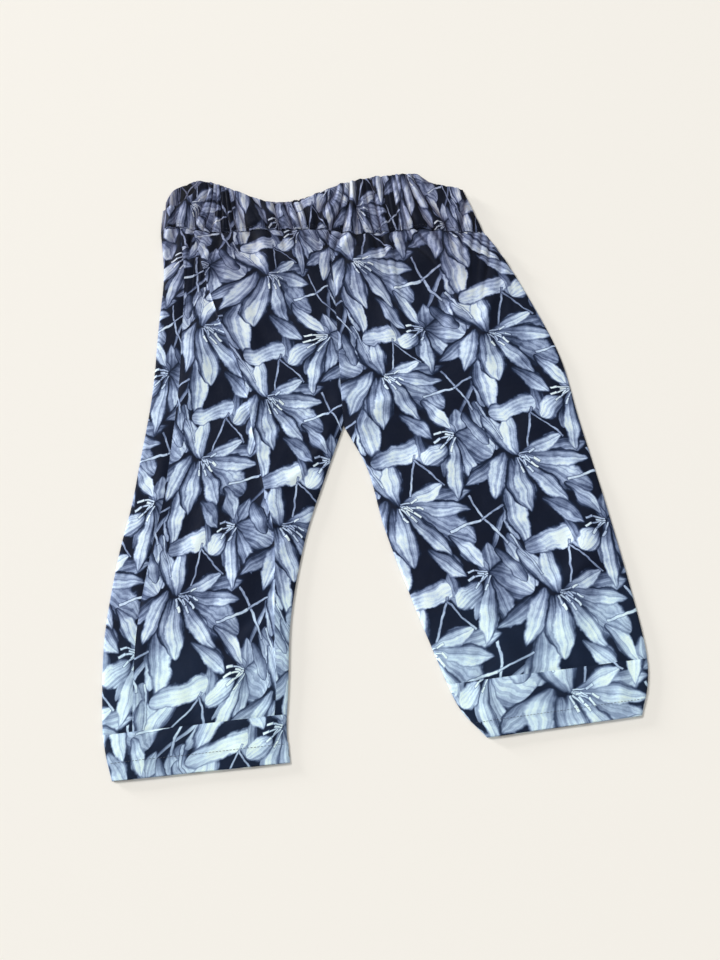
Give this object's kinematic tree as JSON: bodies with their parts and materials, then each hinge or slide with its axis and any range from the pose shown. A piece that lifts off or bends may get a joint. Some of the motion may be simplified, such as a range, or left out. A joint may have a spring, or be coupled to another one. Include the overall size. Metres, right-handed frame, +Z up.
{
  "type": "culottes",
  "caption": "Wide cropped pull-on trousers in an all-over lily print, with a gathered elastic waistband, laid flat with the front up.",
  "frame": {"origin": "on the surface that the garment lies on, under the middle of its box", "axes": "+X from the wearer's right leg to the left one, +Y from the hems to the waist, +Z up from the surface, through the back and then the front"},
  "size_m": [0.5672, 0.7472, 0.0062],
  "materials": {
    "leg_cloth": "matt printed plain weave",
    "waistband_cloth": "matt printed plain weave, gathered",
    "thread": "sewing thread"
  },
  "bodies": {
    "root": {"front_right_leg": "leg_cloth", "front_left_leg": "leg_cloth", "back_right_leg": "leg_cloth", "back_left_leg": "leg_cloth", "front_waistband": "waistband_cloth", "back_waistband": "waistband_cloth"}
  },
  "joints": []
}
